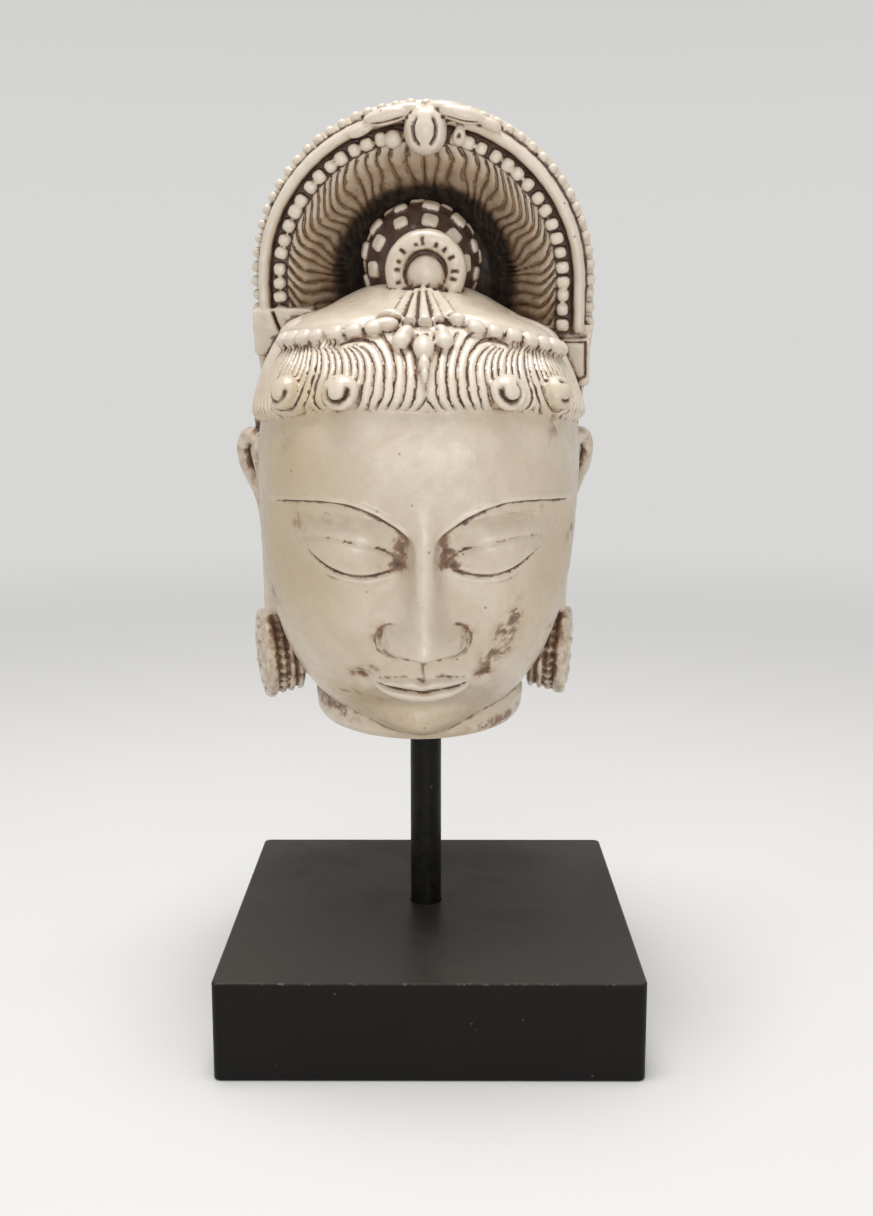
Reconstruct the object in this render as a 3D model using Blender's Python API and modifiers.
"""A cast stone Buddha head with a looped hair crest, on a rod and a square block.

Front is -Y and up is +Z. The origin is the middle of the block's underside.
Carving is laid out in carving units: one unit is the head's height divided by 230,
which is one millimetre at the head's own size.
"""
import math

import bmesh
import bpy
import numpy as np
from mathutils import Matrix, Vector

# Stand, in metres
BLOCK_WIDTH = 0.150
BLOCK_DEPTH = 0.150
BLOCK_HEIGHT = 0.036
BLOCK_CORNER_RADIUS = 0.0028
BLOCK_EDGE_RADIUS = 0.0009
ROD_DIAMETER = 0.012
ROD_SHOWN = 0.076
ROD_IN_BLOCK = 0.020
ROD_IN_HEAD = 0.032
ROD_LEFT = 0.0019
ROD_BACK = 0.003
ROD_END_CHAMFER = 0.0006
FIT_GAP = 0.0003

# Head, in metres and degrees
HEAD_HEIGHT = 0.230
CARVING_UNITS = 230.0
UNIT = HEAD_HEIGHT / CARVING_UNITS
CUT_TILT = 11.0
HEAD_NOD = 18.0
HEAD_YAW = 3.0
CREST_LEAN = 11.0
CREST_YAW = -4.0
VOXEL = 1.1
HEAD_TRIANGLES = 9300
BACK_TRIANGLES = 1500

# Skull and neck, in carving units
SKULL_CENTRE = Vector((-3.0, -1.0, 90.5))
SKULL_HALF = Vector((59.0, 66.0, 94.5))
SKULL_UPPER = 66.0
SKULL_BACK = 62.5
SKULL_ROUND = 2.45
SKULL_CROWN_ROUND = 2.8
LOWER_FACE_DRAW = 1.06
NECK_HALF_WIDTH = 40.0
NECK_HALF_DEPTH = 33.0
NECK_SIDE = -2.5
NECK_BACK = 9.0
NECK_TOP = 62.0

# Hair over the brow, in carving units
HAIRLINE = 116.0
HAIR_MIDDLE = 1.0
CAP_EDGE = 141.5
CAP_RISE = 5.5
CAP_DROOP = 2.8
STRAND_RADIUS = 1.7
STRAND_PITCH = 3.5
STRAND_LIFT = 2.9
CURL_RADIUS = 7.0
CURL_HEIGHT = 124.2
CURL_TURNS = (22.2, 39.6)
SIDE_HAIR_TURN = 60.0
CAP_BEAD_RADIUS = 2.7
CAP_BEADS = 8

# Crest, in carving units from the middle of its ring
CREST_CENTRE = Vector((-2.0, 1.0, 165.0))
CREST_RADIUS = 63.5
CREST_LEG = 19.5
CREST_DEPTH = 50.0
CREST_SIDE = 12.0
CREST_FOOT_BACK = -1.0
CREST_FOOT_DROP = 41.5
CREST_FOOT_TAPER = 0.91
PEARL_RADIUS = 2.55
PEARL_PITCH = 5.3
PEARL_RING = 52.4
EDGE_PEARL_RADIUS = 2.2
LOCK_PITCH = 4.0
BUN_RADIUS = 21.6
MEDALLION_RADIUS = 14.7
MEDALLION_PLACE = (2.8, -14.5, 5.0)
BUN_PLACE = (-0.4, 11.0, 5.0)
BOSS_PLACE = (2.6, -5.5, 51.4)

# Ears and ear plugs, in carving units in the skull's own frame
EAR_MIDDLE = -1.0
EAR_ROOT = 53.6
EAR_SPLAY = 33.0
PLUG_RADIUS = 18.0
PLUG_LENGTH = 15.5
PLUG_DROP = -75.0
PLUG_OUT = 54.6
PLUG_YAW = 12.0

SKULL_FRAME = (Matrix.Translation(SKULL_CENTRE) @ Matrix.Rotation(math.radians(HEAD_YAW), 4, "Z")
               @ Matrix.Rotation(math.radians(HEAD_NOD), 4, "X"))
CREST_FRAME = (Matrix.Translation(CREST_CENTRE) @ Matrix.Rotation(math.radians(CREST_YAW), 4, "Z")
               @ Matrix.Rotation(math.radians(CREST_LEAN), 4, "X"))


def clear_scene():
    for obj in list(bpy.data.objects):
        bpy.data.objects.remove(obj)


def make_collection(name):
    made = bpy.data.collections.new(name)
    bpy.context.scene.collection.children.link(made)
    return made


def make_material(name, colour, roughness, metallic=0.0):
    material = bpy.data.materials.new(name)
    material.use_nodes = True
    shader = material.node_tree.nodes["Principled BSDF"]
    shader.inputs["Base Color"].default_value = (*colour, 1.0)
    shader.inputs["Roughness"].default_value = roughness
    shader.inputs["Metallic"].default_value = metallic
    return material


def make_object(name, bm, collection, material=None):
    mesh = bpy.data.meshes.new(name)
    bm.to_mesh(mesh)
    bm.free()
    obj = bpy.data.objects.new(name, mesh)
    collection.objects.link(obj)
    if material:
        mesh.materials.append(material)
    return obj


# Small shaping functions

def smooth(low, high, value):
    t = np.clip((value - low) / (high - low), 0.0, 1.0)
    return t * t * (3.0 - 2.0 * t)


def bump(value, width):
    return np.exp(-((value / width) ** 2))


def lerp(a, b, t):
    return a + (b - a) * t


def add_ball(bm, centre, radii, turn=None, divisions=2):
    """An ellipsoid, turned by a rotation matrix about its own middle."""
    place = Matrix.Translation(centre) @ (turn.to_4x4() if turn else Matrix.Identity(4))
    stretch = Matrix.Diagonal((*radii, 1.0))
    bmesh.ops.create_icosphere(bm, subdivisions=divisions, radius=1.0, matrix=place @ stretch)


def add_turned(bm, profile, place, steps=40):
    """A closed turned shape about the Y axis. The profile is (radius, along) from axis to axis."""
    lathe = bmesh.new()
    points = [lathe.verts.new((radius, along, 0.0)) for radius, along in profile]
    edges = [lathe.edges.new(pair) for pair in zip(points, points[1:])]
    bmesh.ops.spin(lathe, geom=points + edges, cent=(0, 0, 0), axis=(0, 1, 0),
                   angle=math.tau, steps=steps, use_merge=True)
    bmesh.ops.remove_doubles(lathe, verts=lathe.verts, dist=0.001)
    bmesh.ops.recalc_face_normals(lathe, faces=lathe.faces)
    lathe.transform(place)
    join_into(bm, lathe)


def join_into(bm, other):
    held = bpy.data.meshes.new("held")
    other.to_mesh(held)
    other.free()
    bm.from_mesh(held)
    bpy.data.meshes.remove(held)


def add_tubes(bm, paths, sides=2):
    """Round tubes along paths, each a list of (point, radius), made as one bevelled curve."""
    curve = bpy.data.curves.new("tubes", "CURVE")
    curve.dimensions = "3D"
    curve.bevel_depth = 1.0
    curve.bevel_resolution = sides
    curve.use_fill_caps = True
    for path in paths:
        spline = curve.splines.new("POLY")
        spline.points.add(len(path) - 1)
        for control, (point, radius) in zip(spline.points, path):
            control.co = (*point, 1.0)
            control.radius = radius
    guide = bpy.data.objects.new("tubes", curve)
    bpy.context.scene.collection.objects.link(guide)
    graph = bpy.context.evaluated_depsgraph_get()
    made = bpy.data.meshes.new_from_object(guide.evaluated_get(graph))
    tubes = bmesh.new()
    tubes.from_mesh(made)
    bmesh.ops.remove_doubles(tubes, verts=tubes.verts, dist=0.01)
    bmesh.ops.recalc_face_normals(tubes, faces=tubes.faces)
    join_into(bm, tubes)
    bpy.data.objects.remove(guide)
    bpy.data.curves.remove(curve)
    bpy.data.meshes.remove(made)


def quad_sphere(cuts):
    """A cube cut into squares and blown up to a unit sphere."""
    bm = bmesh.new()
    bmesh.ops.create_cube(bm, size=2.0)
    bmesh.ops.subdivide_edges(bm, edges=bm.edges, cuts=cuts, use_grid_fill=True)
    for vert in bm.verts:
        x, y, z = (math.tan(value * math.pi / 4) for value in vert.co)
        vert.co = Vector((x, y, z)).normalized()
    return bm


def reshape(bm, shape):
    """Moves every vertex with a function from an array of points to an array of points."""
    points = np.array([vert.co for vert in bm.verts])
    for vert, moved in zip(bm.verts, shape(points)):
        vert.co = moved


# The skull and its face, in the skull's own frame

def skull_reach(direction, lift=0.0):
    """How far the egg of the skull reaches along unit directions."""
    above = smooth(-0.25, 0.25, direction[:, 2])
    tall = lerp(SKULL_HALF.z, SKULL_UPPER, above)
    deep = lerp(SKULL_HALF.y, SKULL_BACK, smooth(-0.3, 0.3, direction[:, 1]))
    power = lerp(SKULL_ROUND, SKULL_CROWN_ROUND, smooth(-0.1, 0.5, direction[:, 2]))
    total = sum((np.abs(direction[:, axis]) / (size + lift)) ** power
                for axis, size in enumerate((SKULL_HALF.x, deep, tall)))
    return total ** (-1.0 / power)


def brow_height(across):
    inner = 17.5 - 12.5 * ((across - 29.0) / 25.0) ** 2
    outer = 17.5 - 8.5 * ((across - 29.0) / 25.0) ** 2
    return np.where(across < 29.0, inner, outer)


def cheeks_and_chin(across, z):
    relief = 3.2 * bump(across - 31, 15) * bump(z + 24, 16)
    relief += 5.0 * bump(across, 22) * bump(z + 49, 15)
    relief += 12.0 * bump(across, 16.0) * bump(z + 72.0, 9.5)
    relief -= 2.0 * bump(across, 14) * bump(z + 61.8, 3.8)
    return relief


def brows(across, z):
    brow = brow_height(across)
    under = smooth(0.0, 2.2, brow - z) * smooth(-24.0, -2.0, z)
    along = smooth(2.5, 6.0, across) * (1 - smooth(47.0, 56.0, across))
    relief = -3.0 * under * along
    relief -= 3.8 * bump(across - 12.5, 6.5) * bump(z - 0.5, 8.0)
    relief += 1.3 * bump(z - brow, 1.25) * smooth(3.5, 8.0, across) * (1 - smooth(50.0, 57.0, across))
    return relief


def eyes(across, z):
    """Lowered lids over a round eyeball, with a narrow opening."""
    u = (across - 25.0) / 17.0
    inside = np.clip(1 - u * u, 0, 1)
    ball = np.clip(1 - ((across - 25.0) / 20.0) ** 2 - ((z - 0.2) / 11.6) ** 2, 0, 1)
    relief = 6.3 * ball ** 1.05
    slit = -3.6 + 2.2 * u - 4.2 * inside
    lower = slit - 1.9 * inside ** 0.6
    crease = slit + 4.2 * inside + 7.4 * inside ** 0.62
    opened = inside ** 0.35
    relief -= 1.5 * smooth(-0.45, 0.45, slit - z) * (1 - smooth(-0.5, 0.9, lower - z)) * opened
    relief += 0.7 * bump(z - (slit + 0.9), 0.9) * opened
    relief += 0.8 * bump(z - (lower - 1.0), 0.95) * opened
    relief -= 1.1 * bump(z - crease, 0.8) * smooth(-1.12, -0.9, u) * (1 - smooth(0.95, 1.12, u))
    return relief


def nose(across, z):
    t = np.clip((9.0 - z) / 41.0, 0, 1)
    ridge = (2.6 + 10.0 * t ** 1.1) * (1 - smooth(4.0, 22.0, z)) * smooth(-40.0, -30.5, z)
    width = 4.3 + 3.2 * t ** 1.6
    relief = ridge * np.exp(-((across / width) ** 2.6))
    relief += 2.2 * bump(across, 6.2) * bump(z + 30.0, 5.0)
    wing = ((across - 10.0) / 5.2) ** 2 + ((z + 31.4) / 5.6) ** 2
    relief += 7.2 * np.exp(-(wing ** 1.3))
    relief -= 2.6 * bump(across - 5.8, 2.5) * bump(z + 36.6, 1.9)
    relief -= 0.9 * bump(across, 1.7) * smooth(-46.5, -44.0, z) * (1 - smooth(-40.0, -37.5, z))
    return relief


def lips(across, z):
    line = -50.6 + 2.3 * (across / 19.0) ** 2.4 - 0.8 * bump(across, 3.6)
    top = -45.0 - 1.5 * bump(across, 2.4) - 3.4 * (across / 19.0) ** 2
    foot = -58.0 + 9.6 * (across / 19.0) ** 2.6
    fade = np.clip(1 - (across / 19.6) ** 4, 0, 1)
    upper = np.clip((z - line) / np.maximum(top - line, 0.3), 0, 1)
    lower = np.clip((line - z) / np.maximum(line - foot, 0.3), 0, 1)
    relief = 3.1 * np.sin(np.pi * upper) ** 0.55 * fade
    relief += 3.9 * np.sin(np.pi * lower) ** 0.6 * fade
    relief -= 1.3 * bump(z - line, 0.8) * np.clip(1 - (across / 21.5) ** 6, 0, 1)
    relief -= 2.3 * bump(across - 21.0, 3.0) * bump(z + 48.2, 2.8)
    return relief


def face_relief(x, z):
    """How far the face stands forward of the egg. The half under the eyes is drawn out a little."""
    across = np.abs(x)
    z = np.where(z < 0, z / LOWER_FACE_DRAW, z)
    parts = (cheeks_and_chin, brows, eyes, nose, lips)
    return sum(part(across, z) for part in parts)


def shape_face(points):
    reach = skull_reach(points)
    shaped = points * reach[:, None]
    front = smooth(0.12, 0.5, -points[:, 1])
    shaped[:, 1] -= front * face_relief(shaped[:, 0], shaped[:, 2])
    return shaped


def hairline_at(azimuth):
    """Height of the hairline in the skull's frame. Azimuth is 0 in front and pi at the nape."""
    turn = np.degrees(np.abs(azimuth))
    return 47.0 - 20.0 * smooth(20, 90, turn) - 87.0 * smooth(94, 138, turn)


def cap_edge_at(degrees):
    """The cap's edge rises to the parting and droops a little on one side."""
    return CAP_EDGE + CAP_RISE * bump(degrees, 30.0) - CAP_DROOP * smooth(15.0, 60.0, degrees)


def shape_hair(points):
    """The cap of hair: above the hairline it stands proud of the skull, below it sinks inside."""
    azimuth = np.arctan2(points[:, 0], -points[:, 1])
    plain = points * skull_reach(points)[:, None]
    over = smooth(-1.2, 1.6, plain[:, 2] - hairline_at(azimuth))
    lift = lerp(-4.0, STRAND_LIFT - 1.3, over)
    turned = plain @ np.array(SKULL_FRAME.to_3x3()).T + np.array(SKULL_CENTRE)
    spot = np.degrees(np.arctan2(turned[:, 0] - HAIR_MIDDLE, SKULL_CENTRE.y - turned[:, 1]))
    lift = lift + 3.4 * smooth(-1.0, 0.6, turned[:, 2] - cap_edge_at(spot))
    return points * skull_reach(points, 0.0)[:, None] + points * lift[:, None]


def cap_point(degrees, height, lift):
    """A point on the hair at a level height and an azimuth, in the carving frame."""
    away = Vector((math.sin(math.radians(degrees)), -math.cos(math.radians(degrees)), 0.0))
    into_skull = SKULL_FRAME.inverted()
    near, far = 0.0, 110.0
    start = Vector((HAIR_MIDDLE, SKULL_CENTRE.y, height))
    for _ in range(24):
        middle = (near + far) / 2
        local = into_skull @ (start + away * middle)
        reach = skull_reach(np.array([local.normalized()]))[0] + lift
        if local.length > reach:
            far = middle
        else:
            near = middle
    return start + away * near


# Hair over the brow: strands combed from a parting into snail curls

MEAN_TURN = 1.22  # carving units along the hair for each degree of azimuth
COMB_ANGLE = math.radians(52)


def strand_path(side, curl, radius, steps=14):
    """Down a slant from the cap's edge, then round the inner side of a curl, as (azimuth, height)."""
    middle = CURL_TURNS[curl] * MEAN_TURN
    turn_in = (math.cos(COMB_ANGLE), math.sin(COMB_ANGLE))
    top = (middle - radius * turn_in[0], CURL_HEIGHT + radius * turn_in[1])
    path = []
    edge = float(cap_edge_at(side * top[0] / MEAN_TURN))
    if top[1] < edge:
        run = (edge - top[1]) / math.cos(COMB_ANGLE)
        path += [(top[0] + run * math.sin(COMB_ANGLE) * t, top[1] + run * math.cos(COMB_ANGLE) * t)
                 for t in (1.0, 0.66, 0.33)]
    for step in range(steps + 1):
        angle = lerp(COMB_ANGLE, -math.radians(84), step / steps)
        point = (middle - radius * math.cos(angle), CURL_HEIGHT + radius * math.sin(angle))
        if curl and math.dist(point, (CURL_TURNS[curl - 1] * MEAN_TURN, CURL_HEIGHT)) < CURL_RADIUS + 1.0:
            break
        if HAIRLINE + 0.5 < point[1] < edge + 1.0:
            path.append(point)
    return [(side * across / MEAN_TURN, height) for across, height in path]


def outer_path(side, radius, steps=12):
    """Down the outer side of the last curl and in under it, as (azimuth, height)."""
    middle = CURL_TURNS[-1] * MEAN_TURN
    path = []
    for step in range(steps + 1):
        angle = lerp(math.radians(80), -math.radians(84), step / steps)
        height = CURL_HEIGHT + radius * math.sin(angle)
        if HAIRLINE + 0.5 < height < CAP_EDGE + 1.0:
            path.append((side * (middle + radius * math.cos(angle)) / MEAN_TURN, height))
    return path


def fringe_paths():
    flats = []
    for side in (-1, 1):
        for curl, turn in enumerate(CURL_TURNS):
            inner = (turn if curl == 0 else turn - CURL_TURNS[curl - 1] + 8.0) * MEAN_TURN
            count = int((inner - 1.4 - CURL_RADIUS - STRAND_PITCH * 0.5) / STRAND_PITCH) + 1
            flats += [strand_path(side, curl, CURL_RADIUS + STRAND_PITCH * (index + 0.45))
                      for index in range(count)]
        outer = int(((SIDE_HAIR_TURN - CURL_TURNS[-1]) * MEAN_TURN - CURL_RADIUS) / STRAND_PITCH)
        flats += [outer_path(side, CURL_RADIUS + STRAND_PITCH * (index + 0.45)) for index in range(outer)]
    return [[(cap_point(turn, height, STRAND_LIFT), STRAND_RADIUS) for turn, height in flat]
            for flat in flats if len(flat) > 2]


def hairline_path():
    """A rolled edge that closes the fringe at the brow."""
    path = []
    for step in range(49):
        turn = lerp(-88.0, 88.0, step / 48)
        local = SKULL_FRAME.inverted() @ cap_point(turn, HAIRLINE + 1.0, 1.2)
        path.append((SKULL_FRAME @ local, 1.9))
    return [path]


def curl_paths(turns=1.8, steps=30):
    """Each curl winds in and rises like a snail shell."""
    paths = []
    for side in (-1, 1):
        for azimuth in CURL_TURNS:
            path = []
            for step in range(steps + 1):
                t = step / steps
                angle = math.radians(-100) + math.tau * turns * t
                reach = lerp(CURL_RADIUS - 1.6, 0.8, t)
                turn = azimuth + reach * math.cos(angle) / MEAN_TURN
                height = CURL_HEIGHT + reach * math.sin(angle)
                path.append((cap_point(side * turn, height, STRAND_LIFT + 3.4 * t ** 1.3),
                             lerp(2.2, 2.6, t)))
            paths.append(path)
    return paths


def back_paths(spacing=8.0):
    """Plainer combed strands over the ears and round the back, down to the nape."""
    paths = []
    covered = 180.0 - SIDE_HAIR_TURN
    count = round(covered * MEAN_TURN / spacing)
    for side in (-1, 1):
        for index in range(count):
            azimuth = 180 - (index + 0.5) * covered / count
            path = []
            for step in range(19):
                t = step / 18
                height = lerp(146.0, 26.0, t)
                turn = azimuth + 2.2 * math.sin(t * 7.0)
                point = cap_point(side * turn, height, STRAND_LIFT - 2.0)
                local = SKULL_FRAME.inverted() @ point
                line = hairline_at(math.atan2(local.x, -local.y))
                if local.z > line + 1.0:
                    path.append(point)
            if len(path) > 3:
                ends = len(path) - 1
                paths.append([(point, STRAND_RADIUS * (1.0 + 1.2 * math.sin(math.pi * place / ends)))
                              for place, point in enumerate(path)])
    return paths


def add_cap_border(bm):
    """Squared beads along the cap's front edge, and the fan over the parting."""
    for side in (-1, 1):
        for index in range(CAP_BEADS):
            azimuth = side * (18.0 + index * 6.3)
            centre = cap_point(azimuth, float(cap_edge_at(azimuth)) + 0.3, STRAND_LIFT + 1.8)
            outward = (centre - SKULL_CENTRE).normalized()
            turn = outward.to_track_quat("-Y", "Z").to_matrix()
            add_ball(bm, centre, (CAP_BEAD_RADIUS * 1.05, CAP_BEAD_RADIUS * 0.85, CAP_BEAD_RADIUS), turn)
    ribs = []
    for index in range(-2, 3):
        foot = (index * 5.0, 141.0 + 1.1 * index * index)
        path = []
        for step in range(7):
            t = step / 6
            turn = foot[0] * t ** 0.9 / MEAN_TURN
            path.append((cap_point(turn, lerp(156.0, foot[1], t), STRAND_LIFT + lerp(2.9, 2.2, t)),
                         lerp(1.5, 2.9, t ** 0.8)))
        ribs.append(path)
    add_tubes(bm, ribs)
    drop = cap_point(0.0, 138.2, STRAND_LIFT + 2.2)
    add_ball(bm, drop, (3.5, 2.9, 4.8))
    for side in (-1, 1):
        for across, height, size in ((7.2, 140.8, (2.9, 2.3, 4.0)), (13.6, 146.4, (5.2, 2.2, 2.3))):
            add_ball(bm, cap_point(side * across / MEAN_TURN, height, STRAND_LIFT + 2.0), size)


# The crest: a looped ring of hair behind the bun, in its own frame

def crest_profile():
    """From the floor of the hollow out over the pearl seat and the rim, and back behind."""
    out = CREST_RADIUS
    hollow = [(0.0, 27.0), (25.0, 27.0), (29.0, 22.0), (36.0, 13.0), (43.0, 5.5), (49.5, 0.0)]
    pearl_seat = [(50.4, -0.6), (55.2, -0.9), (56.0, -4.4), (57.2, -5.4)]
    rim = [(out - 4.2, -5.2), (out - 3.1, -4.0), (out - 2.9, 0.6), (out - 3.6, 1.6),
           (out - 3.4, 7.6), (out - 1.6, 9.0), (out - 0.4, 10.4)]
    back = []
    for step in range(14):
        turn = math.radians(90 * step / 14)
        back.append((out * math.cos(turn), CREST_SIDE + (CREST_DEPTH - CREST_SIDE) * math.sin(turn)))
    return hollow + pearl_seat + rim + back + [(0.0, CREST_DEPTH)]


def along_crest(place, radius):
    """A point on the horseshoe: up the right leg, over the arch and down the left leg.

    place runs along the path at that radius, from 0 at the right foot, in carving units.
    """
    arch = math.pi * radius
    if place < CREST_LEG:
        return Vector((radius, 0.0, place - CREST_LEG)), 0.0
    if place > CREST_LEG + arch:
        return Vector((-radius, 0.0, CREST_LEG + arch - place)), math.pi
    angle = (place - CREST_LEG) / radius
    return Vector((radius * math.cos(angle), 0.0, radius * math.sin(angle))), angle


def add_crest_body(bm, steps=96):
    ring = bmesh.new()
    points = [ring.verts.new((radius, along, 0.0)) for radius, along in crest_profile()]
    edges = [ring.edges.new(pair) for pair in zip(points, points[1:])]
    bmesh.ops.spin(ring, geom=points + edges, cent=(0, 0, 0), axis=(0, -1, 0), angle=math.pi, steps=steps)
    bmesh.ops.remove_doubles(ring, verts=ring.verts, dist=0.001)
    rim = [edge for edge in ring.edges if edge.is_boundary]
    foot = bmesh.ops.contextual_create(ring, geom=rim)["faces"]
    drawn = bmesh.ops.extrude_face_region(ring, geom=foot)
    bmesh.ops.delete(ring, geom=foot, context="FACES_ONLY")
    moved = [item for item in drawn["geom"] if isinstance(item, bmesh.types.BMVert)]
    bmesh.ops.translate(ring, verts=moved, vec=(0, 0, -CREST_LEG))
    bmesh.ops.triangulate(ring, faces=[face for face in ring.faces if len(face.verts) > 4])
    bmesh.ops.recalc_face_normals(ring, faces=ring.faces)
    ring.transform(CREST_FRAME)
    join_into(bm, ring)


def add_crest_pearls(bm):
    rows = ((PEARL_RING, -2.6, PEARL_RADIUS), (CREST_RADIUS - 1.9, 5.0, EDGE_PEARL_RADIUS))
    for radius, along, size in rows:
        length = math.pi * radius + 2 * CREST_LEG
        count = round(length / PEARL_PITCH)
        for index in range(count):
            point, _ = along_crest((index + 0.5) * length / count, radius)
            add_ball(bm, CREST_FRAME @ (point + Vector((0, along, 0))), (size, size, size))


def lock_paths():
    """Wavy locks that line the slope between the pearls and the bun's hollow."""
    slope = [(50.5, -0.2), (43.0, 5.5), (36.0, 13.0), (29.5, 21.5)]
    length = math.pi * slope[0][0] + 2 * CREST_LEG
    count = round(length / LOCK_PITCH)
    paths = []
    for index in range(count):
        start, angle = along_crest((index + 0.5) * length / count, slope[0][0])
        path = []
        for step in range(13):
            t = step / 12
            span = t * (len(slope) - 1)
            low = min(int(span), len(slope) - 2)
            radius = lerp(slope[low][0], slope[low + 1][0], span - low)
            along = lerp(slope[low][1], slope[low + 1][1], span - low)
            sway = 1.5 * math.sin(t * 7.4 + 0.6) * math.sin(math.pi * min(1.0, 0.25 + t))
            fall = -math.radians(27) * math.cos(angle) * t ** 1.3
            if start.z < 0:
                point = Vector((math.copysign(radius, start.x), along,
                                start.z * lerp(1.0, 0.8, t) - 0.40 * radius * t ** 1.3 + sway))
            else:
                bent = angle + fall + sway / radius
                point = Vector((radius * math.cos(bent), along, radius * math.sin(bent)))
            point.y -= 0.9
            path.append((CREST_FRAME @ point, lerp(1.6, 1.05, t)))
        paths.append(path)
    return paths


def add_crest_foot(bm):
    """The plain foot of the crest: flat in front, round behind, tapering into the hair."""
    foot = bmesh.new()
    bmesh.ops.create_cone(foot, cap_ends=True, segments=64, radius1=CREST_FOOT_TAPER, radius2=1.0, depth=1.0)
    for vert in foot.verts:
        x, y, z = vert.co
        share = math.hypot(x, y)
        round_back = CREST_SIDE * share + (CREST_DEPTH - CREST_SIDE) * y
        vert.co = (x * CREST_RADIUS, round_back if y > 0.001 else CREST_FOOT_BACK,
                   lerp(-CREST_LEG - CREST_FOOT_DROP, -CREST_LEG + 2.0, z + 0.5))
    bmesh.ops.recalc_face_normals(foot, faces=foot.faces)
    for centre, halves in (((-51.6, 2.4, -17.0), (11.2, 8.2, 8.6)), ((56.2, 1.4, -29.0), (6.6, 4.6, 8.6))):
        place = Matrix.Translation(centre) @ Matrix.Diagonal((*halves, 1.0))
        bmesh.ops.create_cube(foot, size=2.0, matrix=place)
    foot.transform(CREST_FRAME)
    join_into(bm, foot)


def add_bun(bm):
    """The bun in the hollow, set with rows of scales."""
    centre = Vector(BUN_PLACE)
    add_ball(bm, CREST_FRAME @ centre, (BUN_RADIUS, BUN_RADIUS, BUN_RADIUS), divisions=4)
    for row, elevation in enumerate((-8, 12, 32, 52, 72)):
        level = math.radians(elevation)
        count = max(3, round(math.tau * BUN_RADIUS * math.cos(level) / 8.6))
        for index in range(count):
            azimuth = math.tau * (index + 0.5 * (row % 2)) / count
            outward = Vector((math.cos(level) * math.sin(azimuth), -math.cos(level) * math.cos(azimuth),
                              math.sin(level)))
            if outward.y > 0.45:
                continue
            turn = (CREST_FRAME.to_3x3() @ outward).to_track_quat("-Y", "Z").to_matrix()
            add_ball(bm, CREST_FRAME @ (centre + outward * (BUN_RADIUS + 0.1)), (3.1, 1.9, 3.6), turn)


def add_medallion(bm):
    """A ring of petals about a domed boss, in front of the bun."""
    size = MEDALLION_RADIUS
    profile = [(0.0, -5.2), (4.0, -4.7), (6.6, -3.0), (7.2, -0.4), (8.2, 0.6), (8.8, -2.4), (10.4, -3.7),
               (size - 2.2, -3.6), (size - 0.4, -2.0), (size, 1.5), (size - 0.6, 9.0), (0.0, 9.0)]
    add_turned(bm, profile, CREST_FRAME @ Matrix.Translation(MEDALLION_PLACE))


def add_top_boss(bm):
    """A bud with side petals and leaves, hung over the pearls at the top of the crest."""
    middle = Vector(BOSS_PLACE)
    turn = CREST_FRAME.to_3x3()
    add_ball(bm, CREST_FRAME @ middle, (7.2, 6.0, 8.6), turn, 3)
    add_ball(bm, CREST_FRAME @ (middle + Vector((0.0, -0.6, -4.6))), (5.2, 4.8, 6.0), turn, 3)
    for side in (-1, 1):
        for out, along, up, size, lean in ((14.0, -4.6, 56.6, (2.6, 2.4, 9.0), 102),
                                           (12.4, -3.6, 51.2, (2.9, 2.6, 3.0), 0)):
            lay = turn @ Matrix.Rotation(side * math.radians(lean), 3, "Y")
            add_ball(bm, CREST_FRAME @ Vector((side * out + middle.x, along, up)), size, lay)


# Ears with their plugs, in the skull's frame

def ear_point(side, out, up, lift=0.0):
    """A point in the plane of the ear, which opens forward. out runs back and away from the cheek."""
    splay = math.radians(EAR_SPLAY)
    x = EAR_ROOT + out * math.sin(splay) + lift * math.cos(splay)
    y = 1.0 + out * math.cos(splay) - lift * math.sin(splay)
    return SKULL_FRAME @ Vector((side * x, y, up + EAR_MIDDLE))


def add_ear(bm, side):
    """A rolled rim, an inner fold, a plate behind them and the long lobe down to the plug."""
    flat = [(4.5, -4.0), (2.8, 2.0), (4.0, 10.0), (8.5, 15.6), (15.0, 17.2), (20.4, 13.4), (22.2, 7.0),
            (19.4, 0.0), (13.4, -6.0), (8.6, -13.0), (6.0, -22.0), (5.2, -34.0), (5.0, -48.0), (5.0, -62.0)]
    rim = [(ear_point(side, out, up, 1.5), 3.0) for out, up in flat]
    flat = [(7.4, -6.0), (10.4, 0.0), (12.8, 6.6), (14.6, 11.4)]
    fold = [(ear_point(side, out, up, 0.9), 2.0) for out, up in flat]
    flat = [(3.6, -9.0), (2.6, -26.0), (2.2, -42.0), (2.4, -62.0)]
    lobe = [(ear_point(side, out, up, 0.3), 2.9) for out, up in flat]
    add_tubes(bm, [rim, fold, lobe])
    splay = SKULL_FRAME.to_3x3() @ Matrix.Rotation(-side * math.radians(EAR_SPLAY), 3, "Z")
    add_ball(bm, ear_point(side, 10.6, 4.6, -1.8), (2.9, 9.4, 12.4), splay, 3)
    add_ball(bm, ear_point(side, 3.0, -34.0, -3.0), (5.5, 6.4, 36.0), splay, 3)
    web = SKULL_FRAME @ Vector((side * 43.6, 14.0, PLUG_DROP + 10.0))
    add_ball(bm, web, (15.0, 14.0, 26.0), SKULL_FRAME.to_3x3(), 3)
    add_plug(bm, side)


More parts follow.
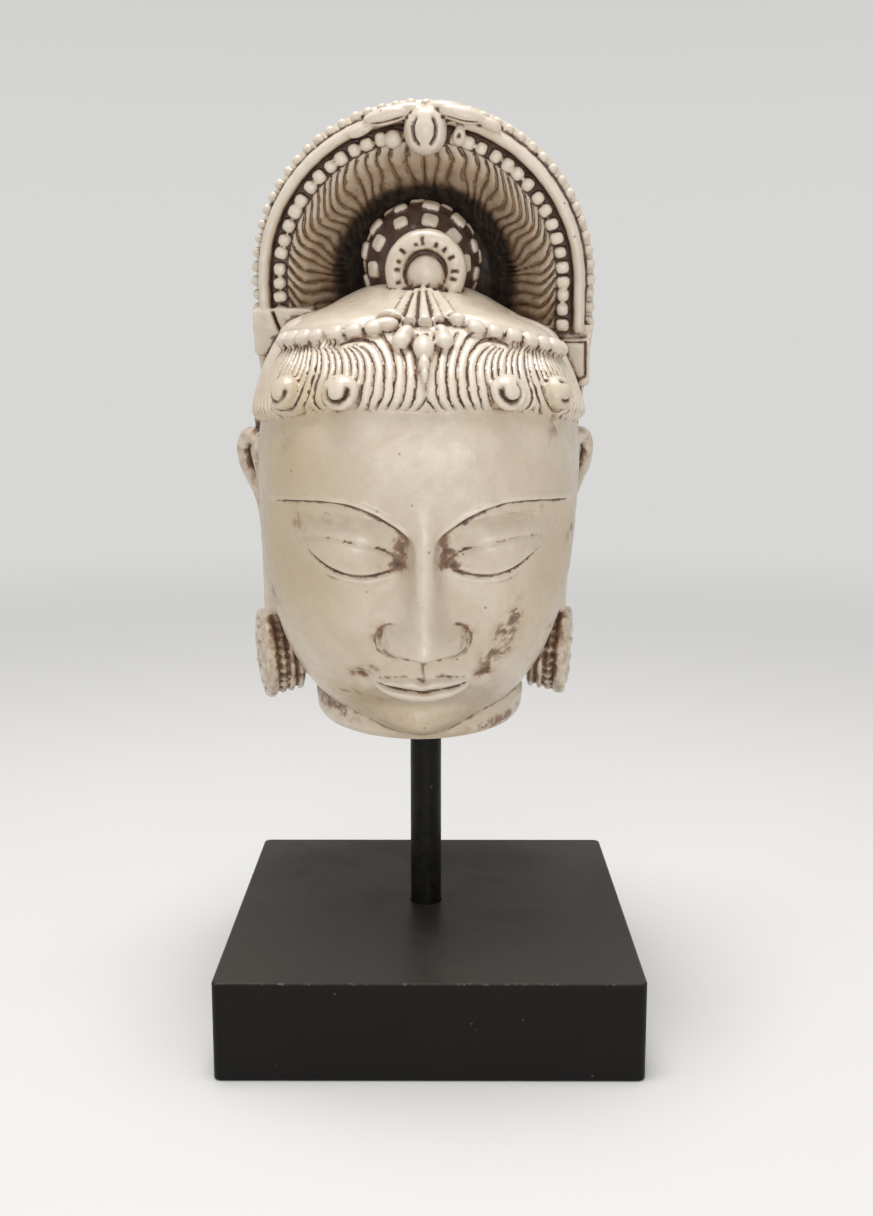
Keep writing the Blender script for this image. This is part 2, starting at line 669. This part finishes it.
def add_plug(bm, side):
    """A spool through the lobe: a rosette disc outside, a row of beads, and an inner flange."""
    size = PLUG_RADIUS
    half = PLUG_LENGTH / 2
    profile = [(0.0, -half - 0.4), (3.0, -half - 0.4), (4.4, -half + 1.0), (5.4, -half + 1.0),
               (7.4, -half - 0.6), (10.6, -half - 0.6), (11.6, -half + 0.6), (12.8, -half + 0.6),
               (13.8, -half - 0.2), (size - 1.0, -half), (size, -half + 1.4), (size, -half + 4.2),
               (size - 1.2, -half + 5.2), (size - 3.8, -half + 6.2), (size - 3.8, half - 5.0),
               (size - 2.4, half - 4.0), (size - 2.0, half - 1.0), (size - 4.0, half), (0.0, half)]
    outward = Matrix.Rotation(math.radians(90 - PLUG_YAW) * side, 4, "Z")
    place = SKULL_FRAME @ Matrix.Translation((side * PLUG_OUT, 3.0, PLUG_DROP)) @ outward
    add_turned(bm, profile, place, steps=32)
    count = 22
    for index in range(count):
        angle = math.tau * index / count
        seat = Vector(((size - 3.0) * math.cos(angle), 0.3, (size - 3.0) * math.sin(angle)))
        add_ball(bm, place @ seat, (1.9, 1.9, 1.9), divisions=1)
    petals = 8
    for index in range(petals):
        angle = math.tau * index / petals
        seat = Vector((9.0 * math.cos(angle), -half - 0.2, 9.0 * math.sin(angle)))
        turn = (place.to_3x3() @ Matrix.Rotation(-angle, 3, "Y"))
        add_ball(bm, place @ seat, (3.0, 1.5, 2.3), turn)


# The neck and the whole head

def add_neck(bm):
    """An oval neck with a rolled rim above the tilted cut. It starts below the cut."""
    slope = math.tan(math.radians(CUT_TILT))
    rings = ((-6.0, 0.965), (0.0, 0.965), (2.0, 1.0), (9.0, 1.0), (13.0, 0.95), (NECK_TOP, 0.92))
    neck = bmesh.new()
    bmesh.ops.create_cone(neck, cap_ends=True, segments=48, radius1=1.0, radius2=1.0, depth=1.0)
    uprights = [edge for edge in neck.edges if abs(edge.verts[0].co.z - edge.verts[1].co.z) > 0.5]
    bmesh.ops.subdivide_edges(neck, edges=uprights, cuts=len(rings) - 2)
    for vert in neck.verts:
        height, share = rings[round((vert.co.z + 0.5) * (len(rings) - 1))]
        x = vert.co.x * share * NECK_HALF_WIDTH + NECK_SIDE
        y = vert.co.y * share * NECK_HALF_DEPTH + NECK_BACK
        vert.co = (x, y, height + y * slope * (1 - max(0.0, height) / NECK_TOP))
    bmesh.ops.recalc_face_normals(neck, faces=neck.faces)
    join_into(bm, neck)


def add_skull(bm):
    for shape, cuts in ((shape_face, 110), (shape_hair, 70)):
        egg = quad_sphere(cuts)
        reshape(egg, shape)
        egg.transform(SKULL_FRAME)
        join_into(bm, egg)


def carve_head():
    """Every closed form of the head, overlapping, in carving units."""
    bm = bmesh.new()
    add_skull(bm)
    add_neck(bm)
    add_tubes(bm, fringe_paths() + hairline_path())
    add_tubes(bm, curl_paths())
    add_tubes(bm, back_paths())
    add_cap_border(bm)
    add_crest_body(bm)
    add_crest_foot(bm)
    add_crest_pearls(bm)
    add_tubes(bm, lock_paths())
    add_bun(bm)
    add_medallion(bm)
    add_top_boss(bm)
    for side in (-1, 1):
        add_ear(bm, side)
    return bm


def bake(obj):
    """Replaces an object's mesh with what its modifiers make of it."""
    graph = bpy.context.evaluated_depsgraph_get()
    made = bpy.data.meshes.new_from_object(obj.evaluated_get(graph))
    old = obj.data
    obj.modifiers.clear()
    obj.data = made
    bpy.data.meshes.remove(old)


def count_triangles(mesh):
    mesh.calc_loop_triangles()
    return len(mesh.loop_triangles)


def thin_back(head):
    """Thins only the plain back, down to its own share of triangles."""
    back = head.vertex_groups.new(name="back")
    weights = smooth(30.0, 44.0, np.array([vert.co.y for vert in head.data.vertices]))
    for vert, weight in zip(head.data.vertices, weights):
        if weight > 0:
            back.add([vert.index], float(weight), "REPLACE")
    total = count_triangles(head.data)
    front = sum(weights[face.vertices[0]] < 0.5 for face in head.data.loop_triangles)
    thin = head.modifiers.new("thin", "DECIMATE")
    thin.vertex_group = back.name
    thin.vertex_group_factor = 1000.0
    thin.ratio = (front + BACK_TRIANGLES) / total
    bake(head)
    head.vertex_groups.clear()


def cast_head(collection, cutters, material):
    """Fuses the carving into one skin, thins it, then cuts the flat underside and the bore."""
    head = make_object("head", carve_head(), collection, material)
    skin = head.modifiers.new("skin", "REMESH")
    skin.mode = "VOXEL"
    skin.voxel_size = VOXEL
    bake(head)
    ease = head.modifiers.new("ease", "SMOOTH")
    ease.factor = 0.3
    ease.iterations = 1
    bake(head)
    thin_back(head)
    thin = head.modifiers.new("thin", "DECIMATE")
    thin.ratio = HEAD_TRIANGLES / count_triangles(head.data)
    bake(head)
    keep_largest(head.data)
    place = Matrix.Translation((-ROD_LEFT, ROD_BACK, BLOCK_HEIGHT + ROD_SHOWN)) @ Matrix.Scale(UNIT, 4)
    head.data.transform(place)

    below = bmesh.new()
    bmesh.ops.create_cube(below, size=1.0)
    depth = 0.06
    below.transform(Matrix.Translation((-ROD_LEFT, ROD_BACK, BLOCK_HEIGHT + ROD_SHOWN))
                    @ Matrix.Rotation(math.radians(CUT_TILT), 4, "X")
                    @ Matrix.Translation((0, 0, -depth / 2)) @ Matrix.Diagonal((0.3, 0.3, depth, 1.0)))
    cut(head, make_object("below_cut", below, cutters))
    reach = ROD_IN_HEAD + FIT_GAP
    bore = make_rod_solid(ROD_DIAMETER / 2 + FIT_GAP, -0.02, reach, 0.0)
    bore.transform(Matrix.Translation((-ROD_LEFT, ROD_BACK, BLOCK_HEIGHT + ROD_SHOWN)))
    cut(head, make_object("head_bore", bore, cutters))
    head.data.materials.clear()
    head.data.materials.append(material)
    return head


def keep_largest(mesh):
    """Drops loose crumbs, so that the head is one closed skin."""
    bm = bmesh.new()
    bm.from_mesh(mesh)
    left = set(bm.verts)
    pieces = []
    while left:
        queue = [left.pop()]
        piece = set(queue)
        while queue:
            for edge in queue.pop().link_edges:
                for vert in edge.verts:
                    if vert in left:
                        left.remove(vert)
                        piece.add(vert)
                        queue.append(vert)
        pieces.append(piece)
    pieces.sort(key=len)
    crumbs = [vert for piece in pieces[:-1] for vert in piece]
    bmesh.ops.delete(bm, geom=crumbs, context="VERTS")
    bm.to_mesh(mesh)
    bm.free()


def cut(obj, cutter):
    cutter.hide_render = True
    cutter.display_type = "WIRE"
    boolean = obj.modifiers.new(cutter.name, "BOOLEAN")
    boolean.operation = "DIFFERENCE"
    boolean.solver = "EXACT"
    boolean.object = cutter


def make_rod_solid(radius, low, high, chamfer, steps=32):
    """A round bar along Z, with both ends chamfered when a chamfer is given."""
    bar = bmesh.new()
    bmesh.ops.create_cone(bar, cap_ends=True, segments=steps, radius1=radius, radius2=radius,
                          depth=high - low, matrix=Matrix.Translation((0, 0, (low + high) / 2)))
    if chamfer:
        ends = [edge for edge in bar.edges if abs(edge.verts[0].co.z - edge.verts[1].co.z) < 1e-6]
        bmesh.ops.bevel(bar, geom=ends, offset=chamfer, segments=1, profile=0.5, affect="EDGES", material=-1)
    return bar


def make_rod(collection, material):
    bar = make_rod_solid(ROD_DIAMETER / 2, -ROD_IN_BLOCK, ROD_SHOWN + ROD_IN_HEAD, ROD_END_CHAMFER)
    bar.transform(Matrix.Translation((-ROD_LEFT, ROD_BACK, BLOCK_HEIGHT)))
    return make_object("rod", bar, collection, material)


def make_base(collection, cutters, material):
    block = bmesh.new()
    bmesh.ops.create_cube(block, size=1.0, matrix=Matrix.Translation((0, 0, BLOCK_HEIGHT / 2))
                          @ Matrix.Diagonal((BLOCK_WIDTH, BLOCK_DEPTH, BLOCK_HEIGHT, 1.0)))
    upright = [edge for edge in block.edges if abs(edge.verts[0].co.z - edge.verts[1].co.z) > 1e-4]
    bmesh.ops.bevel(block, geom=upright, offset=BLOCK_CORNER_RADIUS, segments=4, profile=0.5,
                    affect="EDGES", material=-1)
    flat = [edge for edge in block.edges
            if abs(edge.verts[0].co.z - edge.verts[1].co.z) < 1e-6]
    bmesh.ops.bevel(block, geom=flat, offset=BLOCK_EDGE_RADIUS, segments=2, profile=0.5,
                    affect="EDGES", material=-1)
    base = make_object("base", block, collection, material)
    hole = make_rod_solid(ROD_DIAMETER / 2 + FIT_GAP, -ROD_IN_BLOCK - FIT_GAP, 0.02, 0.0)
    hole.transform(Matrix.Translation((-ROD_LEFT, ROD_BACK, BLOCK_HEIGHT)))
    cut(base, make_object("rod_hole", hole, cutters))
    return base


def build():
    clear_scene()
    parts = make_collection("buddha_head_on_stand")
    cutters = make_collection("cutters")
    cutters.hide_render = True
    stone = make_material("cast_stone", (0.56, 0.49, 0.39), 0.45)
    black_metal = make_material("black_metal", (0.012, 0.012, 0.011), 0.35)
    black_wood = make_material("black_wood", (0.02, 0.018, 0.016), 0.3)
    make_base(parts, cutters, black_wood)
    make_rod(parts, black_metal)
    cast_head(parts, cutters, stone)


build()
